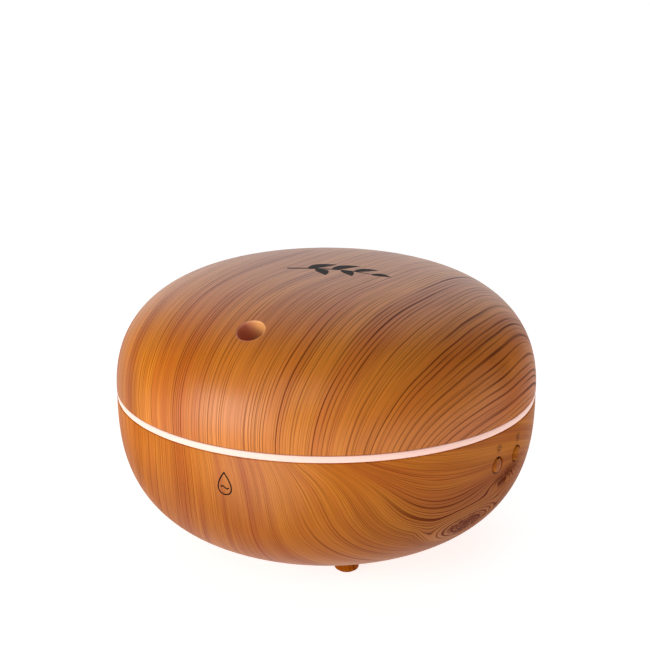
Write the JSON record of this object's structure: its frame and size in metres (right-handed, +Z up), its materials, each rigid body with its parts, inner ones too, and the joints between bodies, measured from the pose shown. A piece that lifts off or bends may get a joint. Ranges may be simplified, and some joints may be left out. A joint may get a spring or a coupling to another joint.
{
  "type": "ultrasonic aroma diffuser",
  "caption": "Round pebble-shaped ultrasonic aroma diffuser with a lift-off cover, slanted mist outlet, glowing ring, side buttons, water tank and fan inside.",
  "frame": {"origin": "on the body's vertical axis, at the plane of the table under the foot pads", "axes": "+Z up, away from the table; -Y towards the front, where the mist outlet is; +X towards the side with the buttons"},
  "size_m": [0.168, 0.168, 0.1117],
  "materials": {
    "wood_print": "satin printed wood grain on moulded plastic",
    "glow_ring": "translucent frosted, lit from inside",
    "white_plastic": "smooth moulded",
    "tank_plastic": "smooth moulded polypropylene",
    "black_plastic": "fine moulded texture",
    "silicone": "soft matt silicone",
    "pad_rubber": "matt",
    "disc_ceramic": "silvered ceramic",
    "sheet_steel": "stamped",
    "screw_steel": "zinc plated",
    "contact_metal": "nickel plated",
    "aluminium": "extruded",
    "copper": "enamelled copper winding",
    "circuit_board": "solder mask",
    "lamp_chip": "phosphor lens in a white package",
    "capacitor_sleeve": "shrink sleeve",
    "wire_red": "wire insulation",
    "wire_yellow": "wire insulation",
    "wire_orange": "wire insulation",
    "wire_white": "wire insulation",
    "wire_green": "wire insulation"
  },
  "bodies": {
    "base": {"light_ring": "glow_ring", "lower_shell": "wood_print", "water_tank": "tank_plastic", "tank_seal": "silicone", "air_cap": "white_plastic", "disc_seal": "silicone", "ceramic_disc": "disc_ceramic", "disc_clamp": "sheet_steel", "clamp_screws": "screw_steel", "fan_hood": "white_plastic", "fan_frame": "black_plastic", "fan_stator": "copper", "fan_screws": "screw_steel", "led_board": "circuit_board", "led_chips": "lamp_chip", "led_board_screws": "screw_steel", "button_board": "circuit_board", "switch_bodies": "black_plastic", "button_board_screws": "screw_steel", "main_board": "circuit_board", "capacitors": "capacitor_sleeve", "inductors": "copper", "power_transistor": "black_plastic", "heat_sink": "aluminium", "control_chips": "black_plastic", "wire_headers": "white_plastic", "board_screws": "screw_steel", "power_jack": "black_plastic", "jack_pin": "contact_metal", "power_lead": "wire_red", "fan_lead": "wire_yellow", "disc_lead": "wire_orange", "led_lead": "wire_white", "button_lead": "wire_green", "bottom_cover": "wood_print", "foot_pads": "pad_rubber", "bottom_screws": "screw_steel"},
    "cover": {"top_cover": "wood_print", "mist_guide": "white_plastic", "guide_seal": "silicone", "guide_screws": "screw_steel"},
    "light_button": {"light_button": "wood_print", "light_switch_stem": "black_plastic"},
    "mist_button": {"mist_button": "wood_print", "mist_switch_stem": "black_plastic"},
    "fan_rotor": {"fan_rotor": "black_plastic"}
  },
  "joints": [
    {"name": "cover_lift", "type": "slide", "parent": "base", "child": "cover", "axis": [0, 0, 1], "range_m": [0, 0.075]},
    {"name": "light_button_press", "type": "slide", "parent": "base", "child": "light_button", "axis": [-0.9863, 0.165, 0], "range_m": [0, 0.0005], "stiffness_N_per_m": 3000},
    {"name": "mist_button_press", "type": "slide", "parent": "base", "child": "mist_button", "axis": [-0.9863, 0.165, 0], "range_m": [0, 0.0005], "stiffness_N_per_m": 3000},
    {"name": "fan_spin", "type": "hinge", "parent": "base", "child": "fan_rotor", "pos_m": [-0.0245, 0, 0.015], "axis": [0, 0, 1], "continuous": true}
  ]
}
